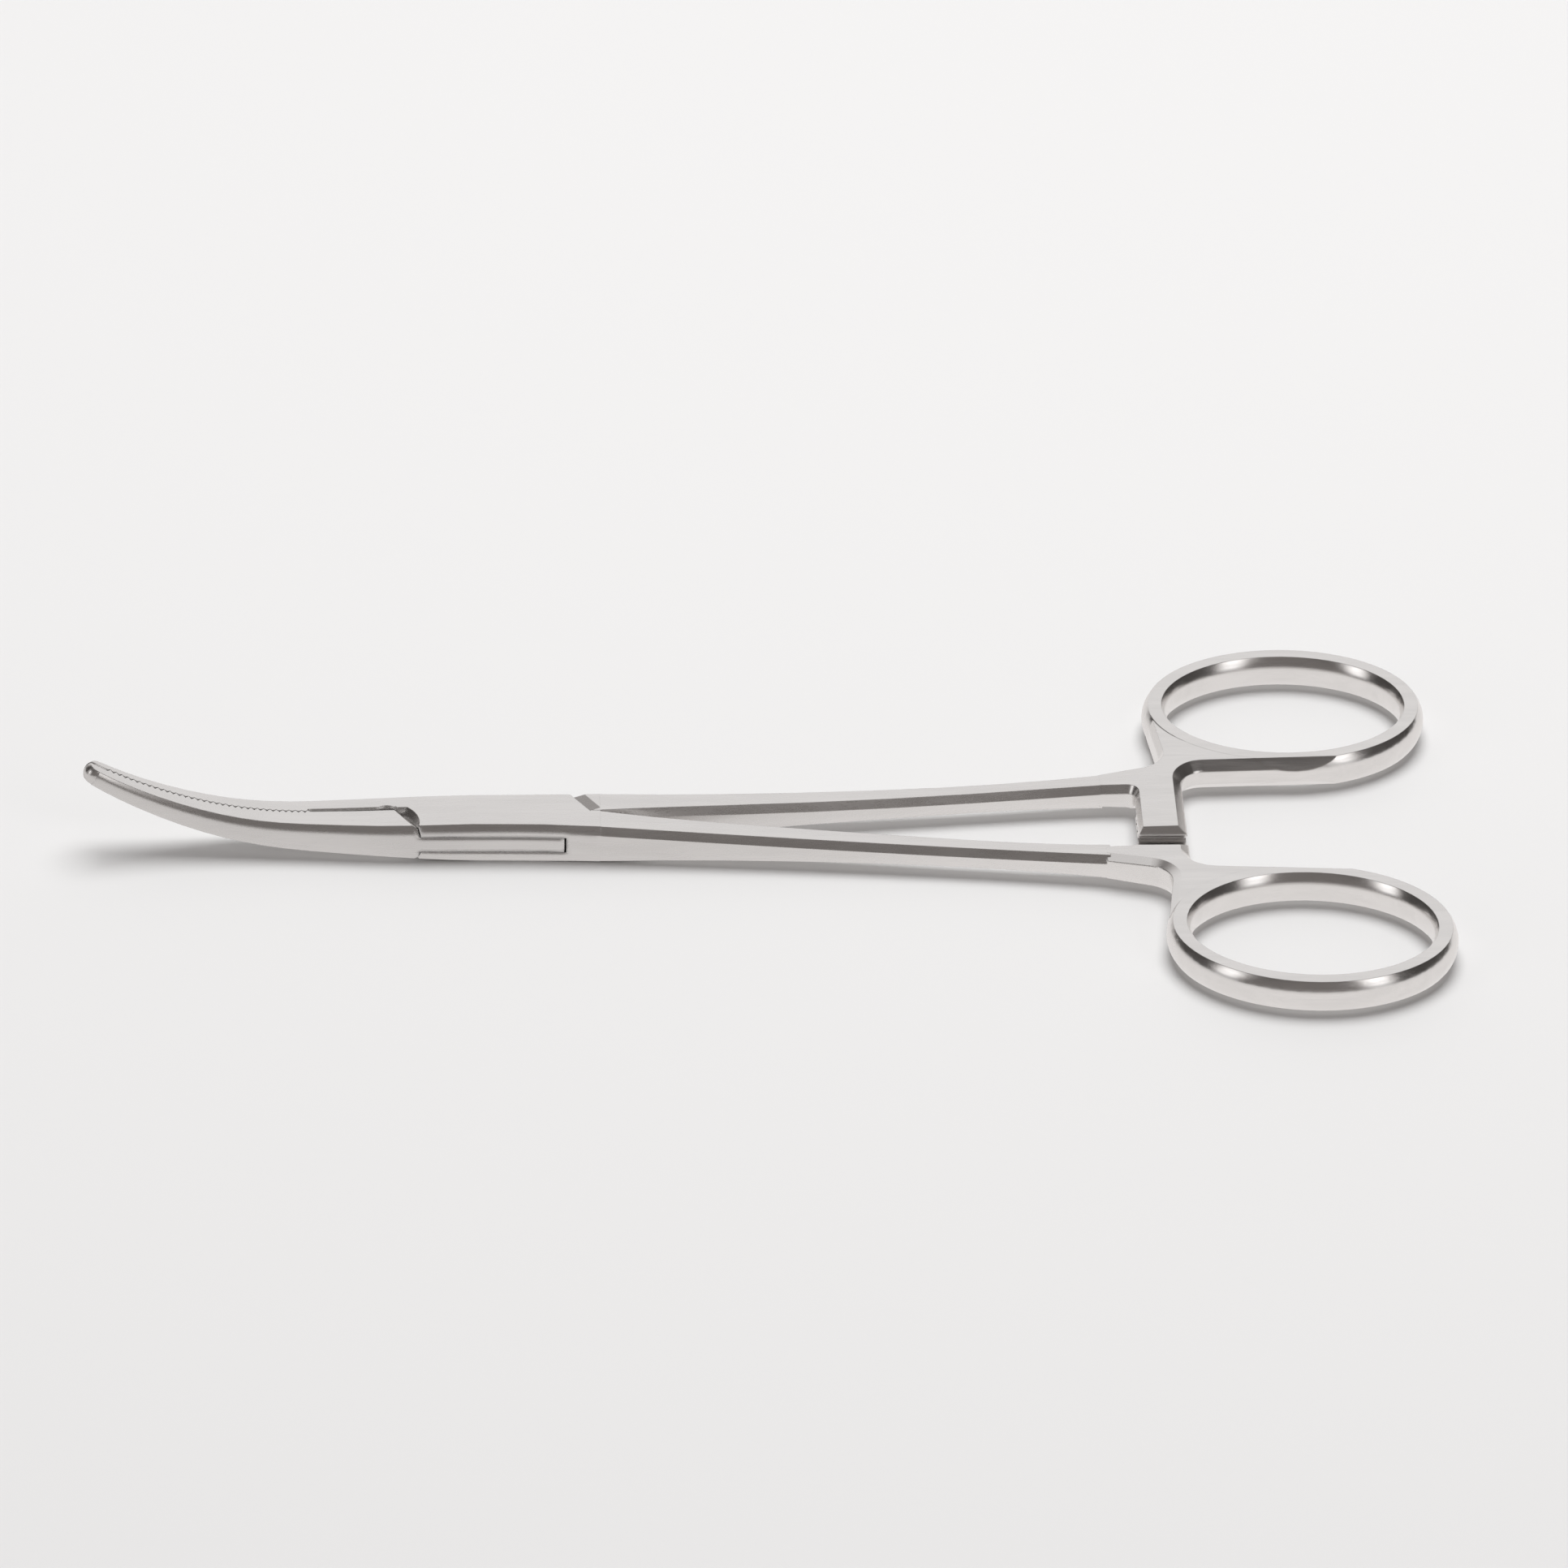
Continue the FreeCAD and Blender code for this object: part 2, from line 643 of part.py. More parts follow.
def tooth_comb(name, shift, floor_shift, foot_shift):
    """Everything on the near side of the toothed mating surface.

    Local X points from the centre of the bend to the first tooth, local Y along the bend and
    local Z across the jaws. The shifts move the floor between the teeth, and the feet of the
    teeth, away from the place where teeth and valleys would fit each other.
    """
    body = body_with_label(name)
    radius, depth, pitch = size("bend_radius"), size("tooth_depth"), size("tooth_pitch")
    valley = size("mate_offset") - depth / 2
    floor, foot = valley + floor_shift, valley + foot_shift
    thick = size("root_flat")
    spread = size("box_height") * 1.3
    base = new_sketch(body, name + "_sector", "XY_Plane", out=floor - thick)
    inside, outside = radius - spread, radius + spread * 1.5
    turn = size("bend_turn") * 1.1
    outline(base, [(inside, 0), (outside, 0), (outside * cosine(turn), outside * sine(turn)),
                   (inside * cosine(turn), inside * sine(turn))])
    pad(body, base, thick)
    ridge = new_sketch(body, name + "_ridge", "YZ_Plane", out=inside)
    outline(ridge, [(0, foot), (pitch, foot), (pitch / 2, valley + depth)])
    tooth = pad(body, ridge, spread * 2)
    teeth = body.newObject("PartDesign::PolarPattern", name + "_teeth")
    teeth.Originals = [tooth]
    teeth.Axis = (origin_feature(body, "Z_Axis"), [""])
    count = int(size("tooth_count").number)
    teeth.Occurrences = count
    bind(teeth, "Angle", pitch / radius * (180 / math.pi) * (count - 1))
    body.Tip = teeth
    along = (size("teeth_start") - size("bend_start")) / radius
    upright = Rotation(Vector(0, 0, -1), Vector(-1, 0, 0), Vector(0, 1, 0), "ZXY")
    turned = Rotation(Vector(0, 1, 0), math.degrees(math.asin(along.number))) * upright
    place(body, -size("bend_start"), shift, MID + size("bend_rise") + radius, turned)
    return body


def along_joint(middle, side, y):
    """Lengthwise place, at sideways place y, of the joint line through (middle, 0) and the side."""
    half_box = size("box_flat") / 2 + size("bevel_run")
    return middle + (side - middle) * y / half_box


def groove(name, sign, middle, side, inner_end, wide, deep, above):
    """The bevels along a diagonal joint, above or below the box.

    The male half has the wide one, on the side away from the pivot.
    """
    body = body_with_label(name)
    spare = 0.4
    past = 1.0
    outward = 1 if above else -1
    wide_rim, narrow_rim = [width * (deep + spare) / deep * outward
                            for width in (wide, size("cheek_bevel"))]
    profile = new_sketch(body, name + "_profile", "XZ_Plane")
    outline(profile, [(0, -deep), (wide_rim, spare), (-narrow_rim, spare)])
    outer_end = size("box_flat") / 2 + size("bevel_run") + past
    start, end = [Vector(sign * along_joint(middle, side, y).number, sign * y.number, 0)
                  for y in (inner_end, outer_end)]
    run = end - start
    pad(body, profile, run.Length, reverse=True)
    doc.recompute()
    aim = Rotation(Vector(0, 1, 0), run)
    surface = (size("front_height") + size("box_height")) / 4
    if above:
        height = MID + surface
        turn = aim
    else:
        height = MID - surface
        turn = aim * Rotation(Vector(0, 1, 0), 180)
    place(body, start.x, start.y, height, turn)
    return body


def cheek_scoop():
    """The curved bevel of the upper cheek's front end, and the round notch where it ends."""
    radius, floor_radius, depth = size("scoop_radius"), size("scoop_floor_radius"), size("scoop_depth")
    spare = 1.0
    floor = MID + (size("front_height") + size("box_height")) / 4 - depth
    x, y = -size("scoop_reach"), -size("scoop_side")
    cone = doc.addObject("Part::Cone", "scoop_cone")
    bind(cone, "Radius1", floor_radius)
    bind(cone, "Radius2", radius + (radius - floor_radius) / depth * spare)
    bind(cone, "Height", depth + spare)
    place(cone, x, y, floor)
    block = doc.addObject("Part::Box", "scoop_block")
    bind(block, "Length", size("notch_reach"))
    bind(block, "Width", size("root_flat") + size("scoop_far"))
    bind(block, "Height", depth + spare)
    place(block, -size("notch_reach"), -size("root_flat"), floor)
    notch = doc.addObject("Part::Cylinder", "scoop_notch")
    bind(notch, "Radius", size("notch_radius"))
    bind(notch, "Height", depth + spare)
    place(notch, -size("notch_reach"), size("notch_side"), floor)
    return fuse_all("scoop", [boolean("Common", "scoop_bevel", cone, block), notch])


def slot_level_tool(name, radius, tall, past_middle, extra):
    """The round space about the pivot at the level of the slot, and two strips beside it.

    The strips join it to the shoulders: behind it on the +Y side and before it on the -Y side.
    """
    disc = doc.addObject("Part::Cylinder", name + "_disc")
    bind(disc, "Radius", radius)
    bind(disc, "Height", tall)
    place(disc, 0, 0, MID - tall / 2)
    length = size("root_reach") + extra
    depth = size("root_flat")
    strips = []
    for suffix, x, y in (("rear", 0, -past_middle), ("front", -length, past_middle - depth)):
        strip = doc.addObject("Part::Box", f"{name}_{suffix}")
        bind(strip, "Length", length)
        bind(strip, "Width", depth)
        bind(strip, "Height", tall)
        place(strip, x, y, MID - tall / 2)
        strips.append(strip)
    return [disc] + strips


def pin_blank(name):
    """The pin with its peened ends, before it is ground flush."""
    tall = size("box_height")
    spare = 1.0
    shaft = doc.addObject("Part::Cylinder", name + "_shaft")
    bind(shaft, "Radius", size("pin_radius"))
    bind(shaft, "Height", tall + 2 * spare)
    place(shaft, 0, 0, -spare)
    pieces = [shaft]
    flare = (size("pin_flare") - size("pin_radius")) / size("pin_flare_height")
    for side, turn in (("top", Rotation()), ("bottom", Rotation(Vector(1, 0, 0), 180))):
        head = doc.addObject("Part::Cone", f"{name}_{side}")
        bind(head, "Radius1", size("pin_radius"))
        bind(head, "Radius2", size("pin_flare") + flare * spare)
        bind(head, "Height", size("pin_flare_height") + spare)
        level = tall - size("pin_flare_height") if side == "top" else size("pin_flare_height")
        place(head, 0, 0, level, turn)
        pieces.append(head)
    return fuse_all(name, pieces)


def check(things):
    """Stop before anything is written if an object has failed."""
    for thing in doc.Objects:
        if "Invalid" in thing.State or "Error" in thing.State:
            raise RuntimeError(f"{thing.Name} failed: {thing.State}")
    for thing in things:
        shape = thing.Shape
        if shape.isNull() or not shape.isValid() or len(shape.Solids) != 1:
            raise RuntimeError(f"{thing.Label} isn't one valid solid")


# Blanks

bar = rounded_tip(jaw_bar())
male_shank = shank()
female_shank = turned_over(male_shank, "female_shank")
handle_plate = boolean("Cut", "handle_plate", web(), rim_core())
handle_blank = fuse_all("handle_blank", [handle_plate, ring()])
handle_cuts = fuse_all("handle_cuts", [ratchet_cutter()] + rim_bevels())
male_handle = boolean("Cut", "male_handle", handle_blank, handle_cuts)
female_handle = turned_over(male_handle, "female_handle")

# The lines that part the two halves, seen from above

half_gap = size("joint_gap") / 2
half_split = size("split_gap") / 2
mate = size("mate_offset")
far_face = mate + size("relief_depth")
tooth_half = size("tooth_depth") / 2 + size("tooth_gap") / 2
beyond = size("root_flat")
past_box = size("root_reach") * 1.5
lead_in = 0.3
toothed_from = -(size("teeth_start") + lead_in)
full_height = size("box_height") * 3
below_all = -size("box_height")


def front_line(y):
    """The front joint at sideways place y, on the near side."""
    return -along_joint(size("front_middle"), size("front_side"), -y)


def rear_line(y):
    """The rear joint at sideways place y, on the far side."""
    return along_joint(size("rear_middle"), size("rear_side"), y)


far_out = size("ring_spread")
male_front = prism("male_front", [
    (front_line(mate) - half_gap, mate),
    (toothed_from, mate - tooth_half),
    (toothed_from, -beyond),
    (front_line(-beyond) - half_gap, -beyond)], below_all, full_height)
male_rear = prism("male_rear", [
    (rear_line(half_split) + half_gap, half_split),
    (ARM_LEFT, half_split),
    (ARM_LEFT, far_out),
    (rear_line(beyond) + half_gap, far_out),
    (rear_line(beyond) + half_gap, beyond)], below_all, full_height)
female_front = prism("female_front", [
    (front_line(far_face) + half_gap, far_face),
    (-size("relief_reach"), far_face),
    (toothed_from, mate + size("relief_end_depth")),
    (toothed_from, -beyond),
    (front_line(-beyond) + half_gap, -beyond)], below_all, full_height)
female_rear = prism("female_rear", [
    (rear_line(-half_split) - half_gap, -half_split),
    (past_box, -half_split),
    (past_box, beyond),
    (rear_line(beyond) - half_gap, beyond)], below_all, full_height)

grooves = []
for end, sign, inner_end, bevel in (("front", -1, -far_face, "root_bevel"),
                                    ("rear", 1, Size.of(0), "shoulder_bevel")):
    for level, above in (("top", True), ("bottom", False)):
        grooves.append(groove(f"groove_{end}_{level}", sign, size(end + "_middle"),
                              size(end + "_side"), inner_end, size(bevel),
                              size(bevel + "_depth"), above))
groove_set = fuse_all("groove_set", grooves)

# Male half

waist_height = size("slot_height") - size("waist_gap") * 2
waist_radius = size("slot_radius") - size("waist_end_gap")
waist_space = slot_level_tool("waist", waist_radius, waist_height, -half_split, 0)
deeper = -size("valley_depth")
male_comb = tooth_comb("male_comb", -size("tooth_gap") / 2, deeper, deeper)
male_space = fuse_all("male_space", [male_front, male_rear, male_comb] + waist_space)
male_spine = boolean("Common", "male_spine", fuse_all("male_bar", [bar, male_shank]), male_space)
waist_bore = doc.addObject("Part::Cylinder", "waist_bore")
bind(waist_bore, "Radius", size("pin_radius") + size("pin_gap"))
bind(waist_bore, "Height", size("box_height"))
male_cut = boolean("Cut", "male_cut", male_spine, fuse_all("male_cuts", [groove_set, waist_bore]))
male_half = fuse_all("male_whole", [male_cut, male_handle], "male_half")

# Female half

slot_space = slot_level_tool("slot", size("slot_radius"), size("slot_height"), half_split, 2)
female_comb = tooth_comb("female_comb", size("tooth_gap") / 2, size("tooth_blunt"), Size.of(0))
pin_seat = pin_blank("pin_seat")
scoop = cheek_scoop()
scoop_below = doc.addObject("Part::Mirroring", "scoop_below")
scoop_below.Source = scoop
scoop_below.Normal = Vector(0, 0, 1)
bind(scoop_below, "Base.z", MID)
female_cuts = fuse_all("female_cuts", [female_front, female_rear, groove_set, pin_seat,
                                       female_comb, scoop, scoop_below] + slot_space)
female_cut = boolean("Cut", "female_cut", fuse_all("female_bar", [bar, female_shank]), female_cuts)
female_half = fuse_all("female_whole", [female_cut, female_handle], "female_half")

# Lock pin, ground flush with the box

lock_pin = boolean("Common", "pin", pin_blank("pin_body"), bar, "lock_pin")

doc.recompute()
nodes = [female_half, male_half, lock_pin]
check(nodes)
for node in nodes:
    node.Shape.exportStep(f"parts/{node.Label}.step")
    print(node.Label, round(node.Shape.Volume, 2), node.Shape.BoundBox)
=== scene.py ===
# %% [markdown]
# # Hemostat forceps in Blender
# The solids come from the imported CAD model, and this lesson dresses them: camera, room, floor and
# the satin finish of the steel. Everything is in metres, in the frame of the CAD model: the origin is
# on the pivot axis at the underside of the box, X runs to the finger rings and Z points up.

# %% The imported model
import math

import bpy
from mathutils import Matrix, Vector

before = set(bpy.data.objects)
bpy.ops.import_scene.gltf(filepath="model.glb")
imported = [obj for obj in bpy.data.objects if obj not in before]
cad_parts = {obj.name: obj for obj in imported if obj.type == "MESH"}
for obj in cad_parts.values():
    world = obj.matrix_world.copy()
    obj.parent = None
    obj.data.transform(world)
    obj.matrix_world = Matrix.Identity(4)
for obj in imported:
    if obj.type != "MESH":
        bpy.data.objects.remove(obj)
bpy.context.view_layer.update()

# %% [markdown]
# ## Camera
# The photograph is taken from the side of the instrument with a long lens, looking down by 30
# degrees. A camera is a place and three directions. They are worked out here from two angles and a
# small roll, so that each number says what it does.

# %% Camera
VIEW_DOWN = math.radians(30.0)
VIEW_TURN = math.radians(2.193)
VIEW_ROLL = math.radians(0.966)
VIEW_FROM = Vector((-0.00729, -0.88568, 0.51825))
VIEW_LENS = 256.5
FILM_WIDTH = 36.0
NEAREST_SEEN = 0.01
FARTHEST_SEEN = 20.0

ahead = Vector((math.cos(VIEW_DOWN) * math.sin(VIEW_TURN),
                math.cos(VIEW_DOWN) * math.cos(VIEW_TURN), -math.sin(VIEW_DOWN)))
level_right = ahead.cross(Vector((0, 0, 1))).normalized()
level_up = level_right.cross(ahead)
right = level_right * math.cos(VIEW_ROLL) + level_up * math.sin(VIEW_ROLL)
up = right.cross(ahead)
turn = Matrix((right, up, -ahead)).transposed()
camera = bpy.data.objects.new("camera", bpy.data.cameras.new("camera"))
camera.data.lens = VIEW_LENS
camera.data.sensor_width = FILM_WIDTH
camera.data.clip_start = NEAREST_SEEN
camera.data.clip_end = FARTHEST_SEEN
camera.matrix_world = Matrix.Translation(VIEW_FROM) @ turn.to_4x4()
bpy.context.scene.collection.objects.link(camera)
bpy.context.scene.camera = camera
bpy.context.scene.view_settings.view_transform = "Standard"
print("camera stands", round(VIEW_FROM.length, 3), "m from the origin")

# %% [markdown]
# ## Node helpers
# A material or a world is a small network. These helpers add a node, join two sockets and set
# numbers, so that the networks below read as recipes.


# %% Node helpers
def add_node(tree, kind, **values):
    node = tree.nodes.new(kind)
    for name, value in values.items():
        setattr(node, name, value)
    return node


def feed(tree, socket, source):
    """Give a socket a plain value, or link it to another node's output."""
    if hasattr(source, "is_output"):
        tree.links.new(source, socket)
    else:
        socket.default_value = source


def calculate(tree, operation, *terms):
    """One sum of the network, such as ADD or MULTIPLY, over numbers or outputs."""
    node = add_node(tree, "ShaderNodeMath", operation=operation)
    for socket, term in zip(node.inputs, terms):
        feed(tree, socket, term)
    return node.outputs[0]


def smooth_step(tree, value, low, high, start=0.0, end=1.0):
    """Goes from start to end with an S-shaped curve while value goes from low to high."""
    node = add_node(tree, "ShaderNodeMapRange", interpolation_type="SMOOTHSTEP")
    for socket, term in zip(node.inputs, (value, low, high, start, end)):
        feed(tree, socket, term)
    return node.outputs[0]


def split_vector(tree, vector):
    """The X, Y and Z of a vector output."""
    parts = add_node(tree, "ShaderNodeSeparateXYZ")
    tree.links.new(vector, parts.inputs[0])
    return parts.outputs


def blend_colours(tree, share, first, second):
    node = add_node(tree, "ShaderNodeMix", data_type="RGBA")
    feed(tree, node.inputs["Factor"], share)
    feed(tree, node.inputs[6], first)
    feed(tree, node.inputs[7], second)
    return node.outputs[2]


def choose_shader(tree, ray_kind, otherwise, chosen):
    """One shader for a kind of ray, such as Is Camera Ray, and another for all the rest."""
    path = add_node(tree, "ShaderNodeLightPath")
    choice = add_node(tree, "ShaderNodeMixShader")
    tree.links.new(path.outputs[ray_kind], choice.inputs[0])
    tree.links.new(otherwise, choice.inputs[1])
    tree.links.new(chosen, choice.inputs[2])
    return choice.outputs[0]


print("node helpers are ready")

# %% [markdown]
# ## The room
# Polished steel shows its room more than its own colour. In the photograph the flats mirror a pale
# backdrop behind the instrument, the upright sides mirror the table in front of it, the bevels
# mirror a dark room behind the camera, and two soft boxes left and right of the camera make the
# bright spots on the finger rings. So the room is painted on the world by direction. First come two
# helpers that say how near a ray's direction is to a given one.

# %% Directions in the room
world = bpy.data.worlds.new("studio")
bpy.context.scene.world = world
world.use_nodes = True
room = world.node_tree
room.nodes.clear()
heading = add_node(room, "ShaderNodeTexCoord").outputs["Generated"]


def towards(azimuth, elevation):
    """The direction at an azimuth, in degrees from the camera's side, and an elevation."""
    a = math.radians(azimuth)
    e = math.radians(elevation)
    return (math.sin(a) * math.cos(e), -math.cos(a) * math.cos(e), math.sin(e))


def nearness(azimuth, elevation, inner, outer):
    """1 within the inner angle of a direction, 0 beyond the outer one, smooth between them."""
    dot = add_node(room, "ShaderNodeVectorMath", operation="DOT_PRODUCT")
    room.links.new(heading, dot.inputs[0])
    dot.inputs[1].default_value = towards(azimuth, elevation)
    return smooth_step(room, dot.outputs["Value"], math.cos(math.radians(outer)),
                       math.cos(math.radians(inner)))


print("the camera's side is", tuple(round(part, 3) for part in towards(0, 0)))

# %% [markdown]
# ## Walls, backdrop and soft boxes
# The walls are dim, and a little brighter behind the camera. A large pale patch at the back and
# another overhead are the backdrop and the ceiling. Each soft box is tall, so it is made of three
# overlapping round patches, given here as azimuth, elevation and strength. The dim walls are warm,
# and everything bright is nearly white.

# %% Light by direction
WARM_WALLS = (1.0, 0.92, 0.88, 1.0)
PLAIN_LIGHT = (1.0, 0.985, 0.98, 1.0)
BACKDROP = 0.86
DIM_SIDES = 0.07
DIM_FRONT = 0.19
FRONT_WALL = (-0.85, -0.45)
BACKDROP_SPREAD = (26, 50)
CEILING_SPREAD = (12, 30)
SOFT_BOX_SPREAD = (4, 15)
LEFT_BOX = ((-62, 6, 0.5), (-62, 20, 1.1), (-60, 33, 0.8))
RIGHT_BOX = ((42, 8, 0.6), (42, 22, 1.0), (43, 37, 1.2))

walls = smooth_step(room, split_vector(room, heading)["Y"], *FRONT_WALL, DIM_FRONT, DIM_SIDES)
backdrop_patch = nearness(180, 30, *BACKDROP_SPREAD)
ceiling_patch = nearness(0, 90, *CEILING_SPREAD)
pale = calculate(room, "MAXIMUM", backdrop_patch, ceiling_patch)
light = calculate(room, "ADD", walls, calculate(room, "MULTIPLY", pale, BACKDROP - DIM_SIDES))
for azimuth, elevation, strength in LEFT_BOX + RIGHT_BOX:
    glow = nearness(azimuth, elevation, *SOFT_BOX_SPREAD)
    pale = calculate(room, "MAXIMUM", pale, glow)
    light = calculate(room, "ADD", light, calculate(room, "MULTIPLY", glow, strength))
print("patches of light:", 2 + len(LEFT_BOX + RIGHT_BOX))

# %% [markdown]
# ## What a ray sees
# Rays that leave the steel or the floor see the room. A camera ray that misses the floor sees a
# plain near-white instead, so that the background stays pale.

# %% World shader
BACKGROUND = (0.93, 0.93, 0.94, 1.0)

shine = add_node(room, "ShaderNodeBackground")
feed(room, shine.inputs["Strength"], light)
feed(room, shine.inputs["Color"], blend_colours(room, pale, WARM_WALLS, PLAIN_LIGHT))
background = add_node(room, "ShaderNodeBackground")
background.inputs["Color"].default_value = BACKGROUND
seen = choose_shader(room, "Is Camera Ray", shine.outputs[0], background.outputs[0])
room.links.new(seen, add_node(room, "ShaderNodeOutputWorld").inputs[0])
print("world nodes:", len(room.nodes))

# %% [markdown]
# ## Lamp
# One large soft lamp overhead lights the floor and gives the short soft shadow under the instrument.
# The steel doesn't mirror it.

# %% Lamp
LAMP_SIZE = 0.7
LAMP_POWER = 7.5
LAMP_FROM = (0.1, 0.25, 0.9)
LAMP_AIM = Vector((0.02, 0, 0))

lamp = bpy.data.objects.new("overhead", bpy.data.lights.new("overhead", "AREA"))
lamp.data.shape = "DISK"
lamp.data.size = LAMP_SIZE
lamp.data.energy = LAMP_POWER
lamp.visible_glossy = False
lamp.location = LAMP_FROM
lamp.rotation_euler = (LAMP_AIM - lamp.location).to_track_quat("-Z", "Y").to_euler()
bpy.context.scene.collection.objects.link(lamp)
print("lamp of", LAMP_SIZE, "m at a height of", LAMP_FROM[2], "m")

# %% [markdown]
# ## Floor
# The floor is a plain pale sheet, far larger than the view, and it is a square of four corners
# because nothing on it bends. It lies a hair below the model, so that the two don't share a plane.
# The steel mirrors it as an even pale tone without the shadow, as in the photograph, where it is a
# little brighter under the finger rings than under the box.

# %% Floor
FLOOR_HALF = 6.0
FLOOR_LEVEL = -0.00002
FLOOR_COLOUR = (0.76, 0.76, 0.76, 1.0)
FLOOR_ROUGHNESS = 0.9
MIRRORED_COLOUR = (1.0, 0.972, 0.958, 1.0)
MIRRORED_AT_BOX = 0.74
MIRRORED_AT_RINGS = 0.90
RING_ZONE = 0.06

corners = [(x * FLOOR_HALF, y * FLOOR_HALF, FLOOR_LEVEL)
           for x, y in ((-1, -1), (1, -1), (1, 1), (-1, 1))]
floor_mesh = bpy.data.meshes.new("floor")
floor_mesh.from_pydata(corners, [], [(0, 1, 2, 3)])
floor = bpy.data.objects.new("floor", floor_mesh)
bpy.context.scene.collection.objects.link(floor)
floor_paint = bpy.data.materials.new("pale_floor")
floor_paint.use_nodes = True
floor_tree = floor_paint.node_tree
floor_shader = floor_tree.nodes["Principled BSDF"]
floor_shader.inputs["Base Color"].default_value = FLOOR_COLOUR
floor_shader.inputs["Roughness"].default_value = FLOOR_ROUGHNESS
mirrored = add_node(floor_tree, "ShaderNodeEmission")
mirrored.inputs["Color"].default_value = MIRRORED_COLOUR
floor_place = add_node(floor_tree, "ShaderNodeTexCoord").outputs["Object"]
floor_x = split_vector(floor_tree, floor_place)["X"]
feed(floor_tree, mirrored.inputs["Strength"],
     smooth_step(floor_tree, floor_x, 0.0, RING_ZONE, MIRRORED_AT_BOX, MIRRORED_AT_RINGS))
floor_look = choose_shader(floor_tree, "Is Glossy Ray", floor_shader.outputs[0], mirrored.outputs[0])
floor_tree.links.new(floor_look, floor_tree.nodes["Material Output"].inputs["Surface"])
floor_mesh.materials.append(floor_paint)
print("floor is", 2 * FLOOR_HALF, "m wide")

# %% [markdown]
# ## Broken edges
# The instrument is forged, ground and tumbled, so no edge is sharp. A Bevel node rounds the normals
# near edges without changing the mesh. In front of the pivot and at the webs beside the rings the
# bevels run softly into the sides, so a second, wider rounding is used there, away from the flats.
# A bevel takes it only where it turns the surface towards the side, so its upper edge stays crisp.
# The pin is ground flush and polished over, so no rounding shows its rim.


# %% Broken edges
EDGE = 0.00010
SOFT_EDGE = 0.00085
WEB_EDGE = 0.00035
SOFT_EDGE_TO_WEB_EDGE = (0.010, 0.050)
SOFT_IN_FRONT_OF = (0.007, 0.013)
SOFT_FROM_WEB = (0.050, 0.060)
FLAT_FROM = (0.72, 0.80)
UPRIGHT_TO = (0.10, 0.25)
LOWERED = (-0.03, 0.03)
PIN_ZONE = 0.0025


def height_share(tree, normal):
    """How far a normal points up or down, from 0 on upright faces to 1 on level ones."""
    return calculate(tree, "ABSOLUTE", split_vector(tree, normal)["Z"])


def blend_normals(tree, share, first, second):
    node = add_node(tree, "ShaderNodeMix", data_type="VECTOR")
    feed(tree, node.inputs["Factor"], share)
    feed(tree, node.inputs[4], first)
    feed(tree, node.inputs[5], second)
    return node.outputs[1]


def rounded_normal(tree, radius, samples):
    node = add_node(tree, "ShaderNodeBevel", samples=samples)
    feed(tree, node.inputs["Radius"], radius)
    return node.outputs[0]


def rounded_edges(tree, x, y):
    """The normal of the surface with its edges broken, from the place along X and Y."""
    plain = add_node(tree, "ShaderNodeNewGeometry").outputs["Normal"]
    narrow = rounded_normal(tree, EDGE, 6)
    wide_radius = smooth_step(tree, x, *SOFT_EDGE_TO_WEB_EDGE, SOFT_EDGE, WEB_EDGE)
    wide = rounded_normal(tree, wide_radius, 12)
    level = height_share(tree, plain)
    drop = calculate(tree, "SUBTRACT", level, height_share(tree, wide))
    not_flat = smooth_step(tree, level, *FLAT_FROM, 1.0, 0.0)
    upright = smooth_step(tree, level, *UPRIGHT_TO, 1.0, 0.0)
    lowered = calculate(tree, "MAXIMUM", upright, smooth_step(tree, drop, *LOWERED))
    in_front = smooth_step(tree, x, *SOFT_IN_FRONT_OF, 1.0, 0.0)
    zone = calculate(tree, "MAXIMUM", in_front, smooth_step(tree, x, *SOFT_FROM_WEB))
    share = calculate(tree, "MULTIPLY", calculate(tree, "MULTIPLY", not_flat, lowered), zone)
    rounded = blend_normals(tree, share, narrow, wide)
    squares = [calculate(tree, "MULTIPLY", side, side) for side in (x, y)]
    from_pin = calculate(tree, "SQRT", calculate(tree, "ADD", *squares))
    on_pin = smooth_step(tree, from_pin, 0.9 * PIN_ZONE, PIN_ZONE, 1.0, 0.0)
    return blend_normals(tree, on_pin, rounded, plain)


print("edges broken by", 1000 * EDGE, "mm, softly by up to", 1000 * SOFT_EDGE, "mm")

# %% [markdown]
# ## Satin finish and painted shade in crevices
# The long faces keep fine grinding marks along the shanks, with a few broader soft streaks, and the
# finger rings are smoother. The pattern is noise on Object coordinates, stretched along the
# instrument, and it drives roughness, a faint bump and a small change of colour.
# The joints of the lock, the slot and the feet of the teeth are darkened in the colour: painted
# shade, with some dark residue where the polishing wheel can't reach. An Ambient Occlusion node finds
# them by how open a place is within half a millimetre.


# %% Satin steel
GRINDING_MARKS = (90, 9000, 9000)
SOFT_STREAKS = (110, 700, 700)
MARKS_SHARE = 0.4
WORN_RANGE = (0.3, 0.7)
SMOOTHER_BY = 0.03
ROUGHER_BY = 0.04
RINGS_FROM = (0.058, 0.066)
RINGS_SMOOTHER_BY = 0.07
DULL_SHARE = 0.92
# Painted shade, partly dark residue: the colour and reach of the darkening laid into crevices.
CREVICE_SHADE_REACH = 0.0005
CREVICE_SHADE_OPENNESS = (0.10, 0.45)
CREVICE_SHADE_AND_RESIDUE_COLOUR = (0.05, 0.045, 0.04, 1.0)
BUMP_STRENGTH = 0.3


def stretched_noise(tree, place, stretch):
    mapping = add_node(tree, "ShaderNodeMapping")
    tree.links.new(place, mapping.inputs["Vector"])
    mapping.inputs["Scale"].default_value = stretch
    texture = add_node(tree, "ShaderNodeTexNoise")
    tree.links.new(mapping.outputs[0], texture.inputs["Vector"])
    texture.inputs["Scale"].default_value = 1.0
    texture.inputs["Detail"].default_value = 2.0
    texture.inputs["Roughness"].default_value = 0.5
    return texture.outputs["Fac"]


